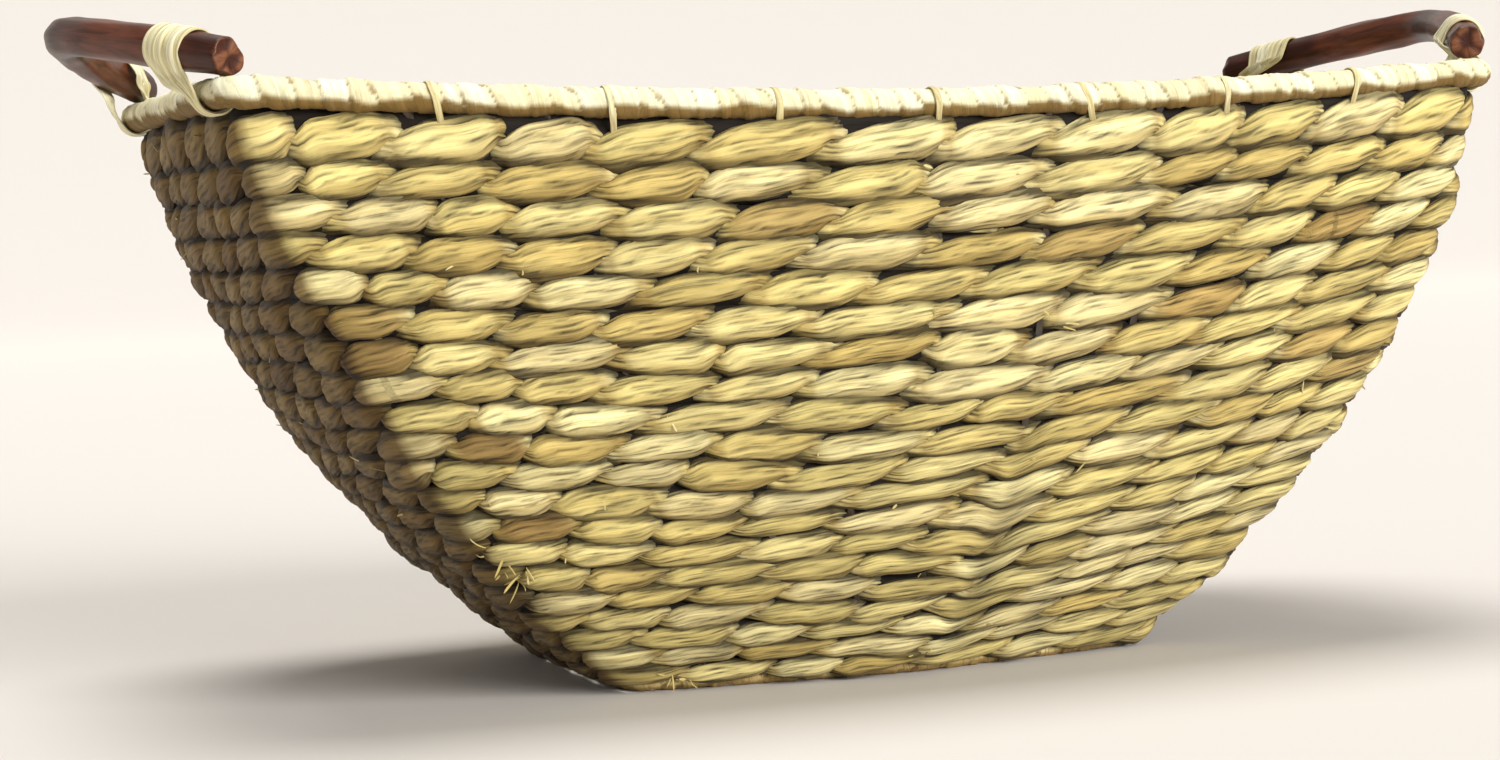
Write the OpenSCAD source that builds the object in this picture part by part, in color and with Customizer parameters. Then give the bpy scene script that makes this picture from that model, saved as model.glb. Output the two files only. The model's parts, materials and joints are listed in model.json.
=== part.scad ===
// Woven market basket: courses of two-strand twine on a steel wire frame, a wrapped rim
// and two bent stick handles lashed across its ends.
// Origin: centre of the base, on the surface it stands on. X is the long way, Y the front
// (-) to back (+), Z up. Millimetres.

/* [Basket] */
// Length over the top course
top_length = 486; // [470:2:500]
// Width over the top course, at its corners
corner_width = 197; // [190:1:206]
// Number of twined courses from rim to base
course_count = 20; // [20:1:20]
// How much thicker the top courses are than the average one, in the long walls
side_taper = 0.3; // [0.1:0.01:0.35]
// How much thicker the top courses are than the average one, in the end walls
end_taper = 0.08; // [0:0.01:0.3]
// Thickness of the wall at the top course
wall_top = 12; // [10:0.5:13]
// Thickness of the wall at the lowest course
wall_foot = 9; // [8:0.5:10]
// Plan radius of the four corners
corner_r = 18; // [16:1:24]

/* [End walls] */
// Length down the end wall from the top course to the base
end_slant = 245.4; // [238:0.2:247]
// Angle of the end wall to the floor at the top
end_angle_top = 73; // [70:1:76]
// Angle of the end wall to the floor at the base
end_angle_foot = 38.8; // [36:0.2:42]
// How far the middle of an end wall bows out
end_bow = 6; // [0:1:8]

/* [Long walls] */
// Length down the middle of a long wall
side_slant = 201.1; // [196:0.1:203]
// Angle of the long wall to the floor at the top
side_angle_top = 98; // [94:1:100]
// Angle of the long wall to the floor at the base
side_angle_foot = 60.9; // [58:0.1:64]
// How far the middle of a long wall stands out at the top
bow_top = 19; // [12:1:22]
// How far the middle of a long wall stands out at the base
bow_foot = 12; // [8:1:14]
// Exponent of the long wall's bow at the top, where it is round
bow_power_top = 2; // [1.8:0.1:2.2]
// Exponent of the bow at the base, where it is a crease
bow_power_foot = 1.25; // [1.1:0.05:1.6]

/* [Rim] */
// Diameter of the steel rim rod
rod_d = 5; // [4:0.5:6]
// Diameter over the raffia wrapped on the rim rod
wrap_d = 10; // [9:0.2:10.4]
// Height of the rim's centre at its corners
rim_z = 212.5; // [212.5:0.5:215]
// How far the rim sags in the middle of the long walls
rim_sag = 8.5; // [4:0.5:12]
// Plan radius of the rim's corners
rim_corner_r = 8; // [7:1:10]
// Number of ties that hold the top course to the rim, on each long side
tie_count = 7; // [5:1:9]

/* [Wire frame] */
// Diameter of the upright steel wires
stake_d = 3; // [2.4:0.2:3.6]
// Number of upright wires in each long wall
side_stakes = 9; // [7:1:11]
// Number of upright wires in each end wall
end_stakes = 5; // [3:1:5]

/* [Base] */
// Thickness of the base mat
mat_t = 7; // [6:0.5:8]
// Diameter of the braid round the base, tucked under the lowest course
braid_d = 5; // [4:0.5:5]
// Number of wires across the base
cross_wires = 5; // [3:1:7]

/* [Handles] */
// Diameter of the bent stick
stick_d = 13.8; // [12:0.2:14]
// Distance between the middles of a stick's two cut ends
stick_span = 176; // [168:1:177]
// How far the stick bows out between its ends
stick_bow = 43; // [36:1:46]
// Exponent of the bow, between an angle and a parabola
stick_power = 1.35; // [1.2:0.05:1.8]
// Tilt of the handle above level
handle_tilt = 18; // [14:1:22]
// Distance from the middle of the stick to the middle of each lashing, along the rim
lash_place = 71; // [66:1:74]
// Turns of raffia in each lashing
lash_turns = 4; // [3:1:5]
// Diameter of one turn of raffia
raffia_d = 2; // [1.6:0.1:2.2]

/* [Hidden] */

$fn = 48;
side_steps = 8;             // stations along a long wall
end_steps = 4;              // stations along an end wall
corner_steps = 3;           // stations round a corner
corner_arc = 90;            // turn of a corner in plan
course_gap = 0.02;          // share of a course's height left clear at its top and foot
course_round = 2.2;         // how far a course's edges stand back from its middle
sag_power = 1.8;            // exponent of the rise of rim and courses towards the corners
small = 0.01;               // step for slopes of the wall surface
clear = 0.35;               // clearance between the wrapped rim and what turns on it
fit = 0.2;                  // clearance between the stick and its lashing
foot_z = 2.2;               // height of the lowest course's outer foot
braid_inset = 6.8;          // from the wall's outer foot in to the middle of the braid
mat_inset = 9.8;            // from the wall's outer foot in to the mat's edge
hoop_inset = 16;            // from the wall's outer foot in to the hoop
rim_half = top_length / 2 - 1;
rim_corner_y = corner_width / 2 - 4;
stick_offset = wrap_d / 2 + clear + stick_d / 2;
wire_sides = 6;             // flats round a wire
wire_steps = 10;            // lengths of an upright wire
tie_d = 2;                  // thickness of a rim tie
stick_sides = 20;           // flats round a stick
stick_steps = 32;           // lengths of a stick
lash_sides = 20;            // corners of a lashing's outline round stick or rim
rim_section = 8;            // flats round the wrapped rim and the base braid

// ---- wall surface -----------------------------------------------------------------

function radians(a) = a * PI / 180;
function mix(a, b, t) = a + (b - a) * t;
function unit(v) = v / norm(v);

// Share of the slant length above a course boundary; u runs from 0 at the top to 1.
function slant_share(u, taper) = u * (1 + taper * (1 - u));

// Run inwards and downwards along an arc of the given slant length and end angles.
function run_in(slant, a0, a1, f) =
    slant * (sin(a0) - sin(mix(a0, a1, f))) / radians(a0 - a1);
function run_down(slant, a0, a1, f) =
    slant * (cos(mix(a0, a1, f)) - cos(a0)) / radians(a0 - a1);

function half_length(u) = top_length / 2
    - run_in(end_slant, end_angle_top, end_angle_foot, slant_share(u, end_taper));
function corner_height(u) = foot_z
    + run_down(end_slant, end_angle_top, end_angle_foot, 1)
    - run_down(end_slant, end_angle_top, end_angle_foot, slant_share(u, end_taper));
function bow(u) = mix(bow_top, bow_foot, u);
function bow_power(u) = mix(bow_power_top, bow_power_foot, u);
function half_width(u) = corner_width / 2 + bow_top - bow(u)
    - run_in(side_slant, side_angle_top, side_angle_foot, slant_share(u, side_taper));
function middle_height(u) = foot_z
    + run_down(side_slant, side_angle_top, side_angle_foot, 1)
    - run_down(side_slant, side_angle_top, side_angle_foot, slant_share(u, side_taper));
function wall_depth(u) = mix(wall_top, wall_foot, u);
function end_bulge(u) = end_bow * 4 * u * (1 - u);

// A point of a long wall (side -1 front, 1 back) or an end wall (side -1 left, 1 right);
// s runs from -1 to 1 between the corners.
function long_wall(u, s, side) = [
    s * (half_length(u) - corner_r),
    side * (half_width(u) + bow(u) * (1 - pow(abs(s), bow_power(u)))),
    mix(middle_height(u), corner_height(u), pow(abs(s), sag_power))
];
function end_wall(u, s, side) = [
    side * (half_length(u) + end_bulge(u) * (1 - s * s)),
    s * (half_width(u) - corner_r),
    corner_height(u)
];

// Closed ring of stations from a front side, an end, a corner plan and a height.
function corner_points(x, y, z, r, a0) = [
    for (k = [1 : corner_steps - 1])
        let (a = a0 + corner_arc * k / corner_steps)
        [x + r * cos(a), y + r * sin(a), z]
];
function wall_ring(u) =
    let (x = half_length(u) - corner_r, y = half_width(u) - corner_r, z = corner_height(u))
    concat(
        [for (k = [0 : side_steps]) long_wall(u, 2 * k / side_steps - 1, -1)],
        corner_points(x, -y, z, corner_r, -90),
        [for (k = [0 : end_steps]) end_wall(u, 2 * k / end_steps - 1, 1)],
        corner_points(x, y, z, corner_r, 0),
        [for (k = [0 : side_steps]) long_wall(u, 1 - 2 * k / side_steps, 1)],
        corner_points(-x, y, z, corner_r, 90),
        [for (k = [0 : end_steps]) end_wall(u, 1 - 2 * k / end_steps, -1)],
        corner_points(-x, -y, z, corner_r, 180)
    );

// Inward normals of the wall at every station of one ring.
function ring_normals(u) =
    let (ring = wall_ring(u), low = wall_ring(u + small), n = len(ring))
    [for (i = [0 : n - 1])
        unit(cross(ring[(i + 1) % n] - ring[(i + n - 1) % n], low[i] - ring[i]))];

// ---- swept solids -----------------------------------------------------------------

// Closed loop of equal sections, each a list of points, as one solid.
module loop_solid(sections) {
    n = len(sections);
    m = len(sections[0]);
    polyhedron(
        points = [for (section = sections) for (p = section) p],
        faces = [
            for (i = [0 : n - 1], j = [0 : m - 1])
                let (a = i * m + j, b = i * m + (j + 1) % m)
                let (c = ((i + 1) % n) * m + (j + 1) % m, d = ((i + 1) % n) * m + j)
                for (face = [[a, b, c], [a, c, d]]) face
        ],
        convexity = 6
    );
}

// Round bar with m flats along an open path, cut square at both ends. The side vector is
// any direction across the whole path.
module bar(path, d, side, m = wire_sides) {
    n = len(path);
    polyhedron(
        points = [
            for (i = [0 : n - 1])
                let (t = unit(path[min(i + 1, n - 1)] - path[max(i - 1, 0)]))
                let (v = unit(cross(t, side)), w = cross(t, v))
                for (j = [0 : m - 1])
                    path[i] + d / 2 * (cos(360 * j / m) * v + sin(360 * j / m) * w)
        ],
        faces = concat(
            [[for (j = [0 : m - 1]) m - 1 - j]],
            [
                for (i = [0 : n - 2], j = [0 : m - 1])
                    let (a = i * m + j, b = i * m + (j + 1) % m)
                    for (face = [[a, b, b + m], [a, b + m, a + m]]) face
            ],
            [[for (j = [0 : m - 1]) (n - 1) * m + j]]
        ),
        convexity = 4
    );
}

// One twined course: a ring between two course boundaries, rounded inside and out.
module course_ring(number) {
    u0 = (number - 1) / course_count;
    u1 = number / course_count;
    upper = wall_ring(u0);
    lower = wall_ring(u1);
    upper_n = ring_normals(u0);
    lower_n = ring_normals(u1);
    depth = wall_depth(u0);
    outline = [
        [course_gap, course_round],
        [0.5, 0],
        [1 - course_gap, course_round],
        [1 - course_gap, depth - course_round],
        [0.5, depth],
        [course_gap, depth - course_round]
    ];
    loop_solid([
        for (i = [0 : len(upper) - 1]) [
            for (q = outline)
                mix(upper[i], lower[i], q[0]) + q[1] * mix(upper_n[i], lower_n[i], q[0])
        ]
    ]);
}

// ---- rim --------------------------------------------------------------------------

function rim_height(s) = rim_z - rim_sag * (1 - pow(abs(s), sag_power));
function rim_long(s, side) = [
    s * (rim_half - rim_corner_r),
    side * (rim_corner_y + bow_top * (1 - pow(abs(s), bow_power_top))),
    rim_height(s)
];
function rim_ring() =
    let (x = rim_half - rim_corner_r, y = rim_corner_y - rim_corner_r, r = rim_corner_r)
    concat(
        [for (k = [0 : side_steps]) rim_long(2 * k / side_steps - 1, -1)],
        corner_points(x, -y, rim_z, r, -90),
        [for (s = [-1, 0, 1]) [rim_half, s * y, rim_z]],
        corner_points(x, y, rim_z, r, 0),
        [for (k = [0 : side_steps]) rim_long(1 - 2 * k / side_steps, 1)],
        corner_points(-x, y, rim_z, r, 90),
        [for (s = [1, 0, -1]) [-rim_half, s * y, rim_z]],
        corner_points(-x, -y, rim_z, r, 180)
    );

// Round tube of diameter d along a closed ring of points.
module ring_tube(ring, d, sides) {
    n = len(ring);
    loop_solid([
        for (i = [0 : n - 1])
            let (t = unit(ring[(i + 1) % n] - ring[(i + n - 1) % n]))
            let (out = unit(cross(t, [0, 0, 1])), up = cross(out, t))
            [for (j = [0 : sides - 1])
                let (a = 360 * (j + 0.5) / sides)
                ring[i] + d / 2 * (cos(a) * out + sin(a) * up)]
    ]);
}

module rim_rod() {
    color("silver") ring_tube(rim_ring(), rod_d, wire_sides);
}

module rim_wrap() {
    color("cornsilk") ring_tube(rim_ring(), wrap_d, rim_section);
}

// Small loops of raffia from the rim down into the top course.
module rim_tie(s, side) {
    top = rim_long(s, side);
    foot = long_wall(0, s, side) + [0, -side * wall_top / 2, 0];
    drop = top[2] - foot[2] + course_round;
    translate([top[0] - tie_d / 2, (top[1] + foot[1]) / 2, top[2] - drop / 2])
        rotate([90, 0, 90])
        linear_extrude(tie_d)
        difference() {
            tie_outline(drop, wrap_d / 2 + clear + tie_d);
            tie_outline(drop, wrap_d / 2 + clear);
        }
}

module tie_outline(drop, r) {
    translate([0, drop / 2]) circle(r);
    translate([0, -drop / 2]) circle(r);
    square([2 * r, drop], center = true);
}

module rim_ties() {
    color("wheat")
        for (side = [-1, 1], k = [1 : tie_count])
            rim_tie(2 * k / (tie_count + 1) - 1, side);
}

// ---- wire frame -------------------------------------------------------------------

// Middle of the wall's thickness, below a point of the outer face.
function inside_long(u, s, side) =
    let (p = long_wall(u, s, side))
    let (along = long_wall(u, s + small, side) - long_wall(u, s - small, side))
    let (down = long_wall(u + small, s, side) - long_wall(u - small, s, side))
    p - wall_depth(u) / 2 * side * unit(cross(along, down));
function inside_end(u, s, side) =
    let (p = end_wall(u, s, side))
    let (along = end_wall(u, s + small, side) - end_wall(u, s - small, side))
    let (down = end_wall(u + small, s, side) - end_wall(u - small, s, side))
    p + wall_depth(u) / 2 * side * unit(cross(along, down));

module long_stakes(side) {
    for (k = [1 : side_stakes])
        let (s = 2 * k / (side_stakes + 1) - 1)
        bar(
            concat(
                [rim_long(s, side)],
                [for (j = [0 : wire_steps]) inside_long(j / wire_steps, s, side)]
            ),
            stake_d, [1, 0, 0]
        );
}

module end_stakes_row(side) {
    for (k = [1 : end_stakes])
        let (s = 2 * k / (end_stakes + 1) - 1)
        bar(
            concat(
                [[side * rim_half, s * (half_width(0) - corner_r), rim_z]],
                [for (j = [0 : wire_steps]) inside_end(j / wire_steps, s, side)]
            ),
            stake_d, [0, 1, 0]
        );
}

module front_stakes() {
    color("gray") long_stakes(-1);
}

module back_stakes() {
    color("gray") long_stakes(1);
}

module left_end_stakes() {
    color("gray") end_stakes_row(-1);
}

module right_end_stakes() {
    color("gray") end_stakes_row(1);
}

// ---- base -------------------------------------------------------------------------

// Ring that lies inside the wall's outer foot by the given inset.
function base_ring(inset, z) =
    let (ring = wall_ring(1), n = len(ring))
    [for (i = [0 : n - 1])
        let (t = unit(ring[(i + 1) % n] - ring[(i + n - 1) % n]))
        [ring[i][0] - inset * t[1], ring[i][1] + inset * t[0], z]];

module base_braid() {
    color("khaki") ring_tube(base_ring(braid_inset, braid_d / 2 + 0.1), braid_d, rim_section);
}

module base_mat() {
    color("tan")
        linear_extrude(mat_t)
        polygon([for (p = base_ring(mat_inset, 0)) [p[0], p[1]]]);
}

module base_hoop() {
    color("gray") ring_tube(base_ring(hoop_inset, mat_t / 2), stake_d, wire_sides);
}

module base_cross_wires() {
    reach = half_width(1) + bow_foot - hoop_inset - 7;
    color("gray")
        for (k = [1 : cross_wires])
            translate([(2 * k / (cross_wires + 1) - 1) * half_length(1), -reach, mat_t / 2])
                rotate([-90, 0, 0])
                cylinder(h = 2 * reach, d = stake_d);
}

// ---- handles ----------------------------------------------------------------------

// Distance of the stick's middle from the rim, in the handle's own plane, and how fast it
// changes along the rim.
function stick_x(y) = stick_bow * (1 - pow(abs(y) / (stick_span / 2), stick_power));
function stick_slope(y) = stick_bow * stick_power / (stick_span / 2)
    * pow(abs(y) / (stick_span / 2), stick_power - 1);

// Stick bent in a bow in its own plane, its cut ends over the rim at x = 0.
module stick() {
    path = [
        for (k = [0 : stick_steps])
            let (y = stick_span * (k / stick_steps - 0.5))
            [stick_x(y), y, 0]
    ];
    bar(path, stick_d, [0, 0, 1], stick_sides);
}

// Puts a handle's own plane on the rim at the right end; side -1 turns it to the left.
module on_rim(side) {
    rotate([0, 0, side > 0 ? 0 : 180])
        translate([rim_half, 0, rim_z])
        rotate([0, -handle_tilt, 0])
        children();
}

module left_handle_stick() {
    color("saddlebrown") on_rim(-1) translate([0, 0, stick_offset]) stick();
}

module right_handle_stick() {
    color("saddlebrown") on_rim(1) translate([0, 0, stick_offset]) stick();
}

// Outline round the stick and the rim in an upright plane across the rim, at y.
module lash_outline(y, grow) {
    slope = stick_slope(y);
    reach = stick_d / 2 + fit;
    hull() {
        translate([stick_x(y), stick_offset])
            oval(reach * sqrt(1 + slope * slope) + raffia_d / 2 * slope + grow, reach + grow);
        oval(wrap_d / 2 + clear + grow, wrap_d / 2 + clear + grow);
    }
}

// Oval with its flats outside the true curve.
module oval(wide, tall) {
    spread = 1 / cos(180 / lash_sides);
    polygon([
        for (k = [0 : lash_sides - 1])
            let (a = 360 * (k + 0.5) / lash_sides)
            spread * [wide * cos(a), tall * sin(a)]
    ]);
}

// Turns of raffia that bind the stick to the rim, side by side; end is the end of the
// stick, -1 or 1.
module lashing(end) {
    step = raffia_d + fit;
    for (k = [0 : lash_turns - 1])
        let (y = lash_place + (k - (lash_turns - 1) / 2) * step)
        translate([0, end * y + raffia_d / 2, 0])
            rotate([90, 0, 0])
            linear_extrude(raffia_d)
            difference() {
                lash_outline(y, raffia_d);
                lash_outline(y, 0);
            }
}

module left_front_lashing() {
    color("wheat") on_rim(-1) lashing(1);
}

module left_back_lashing() {
    color("wheat") on_rim(-1) lashing(-1);
}

module right_front_lashing() {
    color("wheat") on_rim(1) lashing(-1);
}

module right_back_lashing() {
    color("wheat") on_rim(1) lashing(1);
}

module course(number) {
    color(number % 2 == 0 ? "khaki" : "palegoldenrod") course_ring(number);
}

rim_rod();
rim_wrap();
rim_ties();
front_stakes();
back_stakes();
left_end_stakes();
right_end_stakes();
course(1);  // course_01
course(2);  // course_02
course(3);  // course_03
course(4);  // course_04
course(5);  // course_05
course(6);  // course_06
course(7);  // course_07
course(8);  // course_08
course(9);  // course_09
course(10);  // course_10
course(11);  // course_11
course(12);  // course_12
course(13);  // course_13
course(14);  // course_14
course(15);  // course_15
course(16);  // course_16
course(17);  // course_17
course(18);  // course_18
course(19);  // course_19
course(20);  // course_20
base_braid();
base_mat();
base_hoop();
base_cross_wires();
left_handle_stick();
right_handle_stick();
left_front_lashing();
left_back_lashing();
right_front_lashing();
right_back_lashing();
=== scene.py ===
"""Woven market basket: two-strand twined courses on a wire frame, a wrapped rim, a twined
base and two varnished stick handles lashed to the rim. Metres, in the frame of the CAD."""
import json
import math

import bmesh
import bpy
import numpy as np
from mathutils import Matrix, Vector


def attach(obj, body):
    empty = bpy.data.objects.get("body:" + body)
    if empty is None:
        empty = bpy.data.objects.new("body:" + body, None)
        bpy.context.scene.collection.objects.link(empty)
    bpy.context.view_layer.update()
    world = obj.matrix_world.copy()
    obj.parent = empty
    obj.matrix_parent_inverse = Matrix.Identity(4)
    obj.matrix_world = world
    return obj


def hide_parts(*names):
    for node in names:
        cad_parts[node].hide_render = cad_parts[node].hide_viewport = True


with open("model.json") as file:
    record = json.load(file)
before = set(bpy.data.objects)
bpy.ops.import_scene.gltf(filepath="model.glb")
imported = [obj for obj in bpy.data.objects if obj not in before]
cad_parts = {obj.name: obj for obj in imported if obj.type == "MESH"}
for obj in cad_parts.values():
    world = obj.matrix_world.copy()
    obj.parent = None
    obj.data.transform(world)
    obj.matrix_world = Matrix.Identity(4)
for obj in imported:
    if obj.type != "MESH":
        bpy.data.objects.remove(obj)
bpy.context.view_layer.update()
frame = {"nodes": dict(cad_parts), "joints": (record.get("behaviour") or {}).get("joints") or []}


rock_place = frame["joints"][0]["pos_m"]

MM = 0.001
TAU = 2 * math.pi
DETAIL = 1.0

# ---- driving dimensions, as in the CAD model ------------------------------------------
COURSES = 20
TOP_LENGTH, CORNER_WIDTH, CORNER_R = 486 * MM, 197 * MM, 18 * MM
END_SLANT, END_ANGLES, END_TAPER, END_BOW = 245.4 * MM, (73, 38.8), 0.08, 6 * MM
SIDE_SLANT, SIDE_ANGLES, SIDE_TAPER = 201.1 * MM, (98, 60.9), 0.3
BOW, BOW_POWER = (19 * MM, 12 * MM), (2, 1.25)
WALL_DEPTH = (12 * MM, 9 * MM)
SAG_POWER = 1.8
BRAID_D, FOOT_Z = 5 * MM, 2.2 * MM
BRAID_INSET, MAT_INSET = 6.8 * MM, 9.8 * MM
RIM_HALF, RIM_CORNER_Y, RIM_R = abs(rock_place[0]), 94.5 * MM, 8 * MM
RIM_Z, RIM_SAG, WRAP_D = rock_place[2], 8.5 * MM, 10 * MM
TIE_COUNT = 7
STICK_D, STICK_SPAN, STICK_BOW, STICK_POWER = 13.8 * MM, 176 * MM, 43 * MM, 1.35
LASH_PLACE = 71 * MM
HANDLE_TILT = math.radians(18)
STICK_OFFSET = WRAP_D / 2 + 0.35 * MM + STICK_D / 2
MAT_T = 7 * MM
# About how long the sides, the ends and the corners of a ring are, for its point counts.
RING_SPANS = (380 * MM, 150 * MM, 28 * MM)


# ---- small helpers --------------------------------------------------------------------
def mix(a, b, t):
    return a + (b - a) * t


def smooth_step(lo, hi, x):
    t = np.clip((x - lo) / (hi - lo), 0, 1)
    return t * t * (3 - 2 * t)


def unit(v):
    return v / np.maximum(np.linalg.norm(v, axis=-1, keepdims=True), 1e-12)


def loop_noise(rng, t, cycles, power=1.0):
    """Smooth noise of about unit size, periodic over t from 0 to 1."""
    total = np.zeros_like(t)
    weight = 0.0
    for c in cycles:
        size = 1 / c**power
        total += size * np.sin(TAU * (c * t + rng.random()))
        weight += size * size / 2
    return total / math.sqrt(weight)


def linear(r, g, b):
    """Linear colour from 0 to 255 display values."""
    return np.array([(c / 255 / 12.92) if c < 10.3 else ((c / 255 + 0.055) / 1.055) ** 2.4
                     for c in (r, g, b)])


def grid_mesh(name, strands, body, replaces=()):
    """One mesh piece from tubes. Each strand is a dict with points (n, m, 3), colour
    (n, m, 3), fibre (n, m, 3) and closed, whether its last ring joins its first."""
    verts, faces, colours, fibres = [], [], [], []
    base = 0
    for s in strands:
        n, m, _ = s["points"].shape
        verts.append(s["points"].reshape(-1, 3))
        colours.append(s["colour"].reshape(-1, 3))
        fibres.append(s["fibre"].reshape(-1, 3))
        rows = np.arange(n if s["closed"] else n - 1)
        i, j = np.meshgrid(rows, np.arange(m), indexing="ij")
        i2, j2 = (i + 1) % n, (j + 1) % m
        quad = np.stack([i * m + j, i * m + j2, i2 * m + j2, i2 * m + j], -1)
        faces.append(quad.reshape(-1, 4) + base)
        base += n * m
    verts, faces = np.concatenate(verts), np.concatenate(faces)
    mesh = bpy.data.meshes.new(name)
    mesh.vertices.add(len(verts))
    mesh.vertices.foreach_set("co", verts.astype(np.float32).ravel())
    mesh.loops.add(faces.size)
    mesh.loops.foreach_set("vertex_index", faces.astype(np.int32).ravel())
    mesh.polygons.add(len(faces))
    mesh.polygons.foreach_set("loop_start", np.arange(0, faces.size, 4, dtype=np.int32))
    mesh.update(calc_edges=True)
    close_open_ends(mesh, strands)
    mesh.polygons.foreach_set("use_smooth", np.ones(len(mesh.polygons), bool))
    colours = np.concatenate(colours)
    rgba = np.concatenate([colours, np.ones((len(colours), 1))], 1)
    mesh.attributes.new("tone", "FLOAT_COLOR", "POINT").data.foreach_set(
        "color", rgba.astype(np.float32).ravel())
    mesh.attributes.new("fibre", "FLOAT_VECTOR", "POINT").data.foreach_set(
        "vector", np.concatenate(fibres).astype(np.float32).ravel())
    mesh.validate()
    piece = bpy.data.objects.new(name, mesh)
    bpy.context.scene.collection.objects.link(piece)
    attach(piece, body)
    if replaces:
        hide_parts(*replaces)
    return piece


def close_open_ends(mesh, strands):
    """Caps the ends of the strands that aren't closed loops."""
    if all(s["closed"] for s in strands):
        return
    bm = bmesh.new()
    bm.from_mesh(mesh)
    bmesh.ops.holes_fill(bm, edges=[e for e in bm.edges if e.is_boundary], sides=0)
    bmesh.ops.recalc_face_normals(bm, faces=bm.faces)
    bm.to_mesh(mesh)
    bm.free()


# ---- wall surface ---------------------------------------------------------------------
def slant_share(u, taper):
    return u * (1 + taper * (1 - u))


def run_in(slant, angles, f):
    a0, a1 = (math.radians(a) for a in angles)
    return slant * (math.sin(a0) - np.sin(mix(a0, a1, f))) / (a0 - a1)


def run_down(slant, angles, f):
    a0, a1 = (math.radians(a) for a in angles)
    return slant * (np.cos(mix(a0, a1, f)) - math.cos(a0)) / (a0 - a1)


def half_length(u):
    return TOP_LENGTH / 2 - run_in(END_SLANT, END_ANGLES, slant_share(u, END_TAPER))


def corner_height(u):
    fall = run_down(END_SLANT, END_ANGLES, slant_share(u, END_TAPER))
    return FOOT_Z + run_down(END_SLANT, END_ANGLES, 1) - fall


def middle_height(u):
    fall = run_down(SIDE_SLANT, SIDE_ANGLES, slant_share(u, SIDE_TAPER))
    return FOOT_Z + run_down(SIDE_SLANT, SIDE_ANGLES, 1) - fall


def half_width(u):
    inward = run_in(SIDE_SLANT, SIDE_ANGLES, slant_share(u, SIDE_TAPER))
    return CORNER_WIDTH / 2 + BOW[0] - mix(*BOW, u) - inward


def ring_outline(x, y, r, bow, power, end_bow, z_corner, z_middle, steps=2.5 * MM):
    """Closed outline of a basket ring, corner to corner, anticlockwise from the front
    left. x and y are half sizes at the corners."""
    def side(count, half):
        s = np.linspace(-1, 1, count, endpoint=False)
        return s, s * (half - r)
    front, end, arc = (int(v / steps) for v in RING_SPANS)
    s, along = side(front, x)
    out = bow * (1 - np.abs(s) ** power)
    lift = mix(z_middle, z_corner, np.abs(s) ** SAG_POWER)
    e, across = side(end, y)
    end_out = end_bow * (1 - e * e)
    flat = np.full_like(e, z_corner)
    a = np.linspace(0, math.pi / 2, arc, endpoint=False)
    high = np.full_like(a, z_corner)

    def corner(cx, cy, turn):
        return np.stack([cx + r * np.cos(a + turn), cy + r * np.sin(a + turn), high], -1)
    half_pi = math.pi / 2
    return np.concatenate([
        np.stack([along, -(y + out), lift], -1), corner(x - r, -(y - r), -half_pi),
        np.stack([x + end_out, across, flat], -1), corner(x - r, y - r, 0),
        np.stack([-along, y + out, lift], -1), corner(-(x - r), y - r, half_pi),
        np.stack([-(x + end_out), -across, flat], -1), corner(-(x - r), -(y - r), math.pi)])


def wall_ring(u):
    return ring_outline(
        half_length(u), half_width(u), CORNER_R, mix(*BOW, u), mix(*BOW_POWER, u),
        END_BOW * 4 * u * (1 - u), corner_height(u), middle_height(u))


def soften(ring, reach):
    """Closed ring with its kinks rounded by a moving average."""
    total = np.zeros_like(ring)
    for k in range(-reach, reach + 1):
        total += np.roll(ring, k, axis=0)
    return total / (2 * reach + 1)


# The fold in the front wall: its depth, how far it drags the courses down, its half width
# and where it runs, from rim level to base.
DENT, FOLD_DROP, FOLD_WIDTH, FOLD_LINE = 2.3 * MM, 4.5 * MM, 8 * MM, (54 * MM, 10 * MM)
# Two sets of waves round the wall: cycles round it, waves down it, and size.
WALL_WAVES = (((5, 8, 11), 3.1, 1.1 * MM), ((9, 14, 19), 5.3, 0.6 * MM))
WALL_U = np.linspace(-0.1, 1.1, 97)
WALL = np.stack([soften(wall_ring(u), 3) for u in WALL_U])


def in_fold(x, y, u):
    """How far into the front wall's fold a place lies, from 0 to 1."""
    beside = (x - mix(*FOLD_LINE, u)) / FOLD_WIDTH
    strength = smooth_step(0.3, 0.6, u) * smooth_step(1.02, 0.86, u)
    return strength * np.exp(-beside**2) * (y < 0)


def uneven_wall():
    """Adds the slow waviness of hand work to the whole wall."""
    rng = np.random.default_rng(5)
    count = WALL.shape[1]
    t = np.arange(count) / count
    rings = WALL.copy()
    tangent = unit(np.roll(WALL, -1, axis=1) - np.roll(WALL, 1, axis=1))
    down = unit(np.gradient(WALL, axis=0))
    inward = unit(np.cross(tangent, down))
    for cycles, waves, size in WALL_WAVES:
        phase = rng.random() * TAU
        drift = rng.random(2)
        for k, u in enumerate(WALL_U):
            shift = loop_noise(np.random.default_rng(7), (t + drift[0] * u) % 1, cycles)
            lift = loop_noise(np.random.default_rng(8), (t + drift[1] * u) % 1, cycles)
            beat = math.sin(waves * TAU * u + phase)
            rings[k] += inward[k] * (shift * size * beat)[:, None]
            rings[k] += down[k] * (lift * size * 0.7)[:, None] * math.sin(math.pi * u)
    # A fold in the lower half of the front wall, where the basket was pressed in.
    for k, u in enumerate(WALL_U):
        x, y = rings[k][:, 0], rings[k][:, 1]
        share = in_fold(x, y, u)[:, None]
        rings[k] += share * (DENT * inward[k] + FOLD_DROP * down[k])
    return rings


WALL = uneven_wall()


def wall_at(u):
    """Ring of the uneven wall at course height u."""
    k = (u - WALL_U[0]) / (WALL_U[1] - WALL_U[0])
    i = int(min(max(math.floor(k), 0), len(WALL_U) - 2))
    return mix(WALL[i], WALL[i + 1], k - i)


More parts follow.
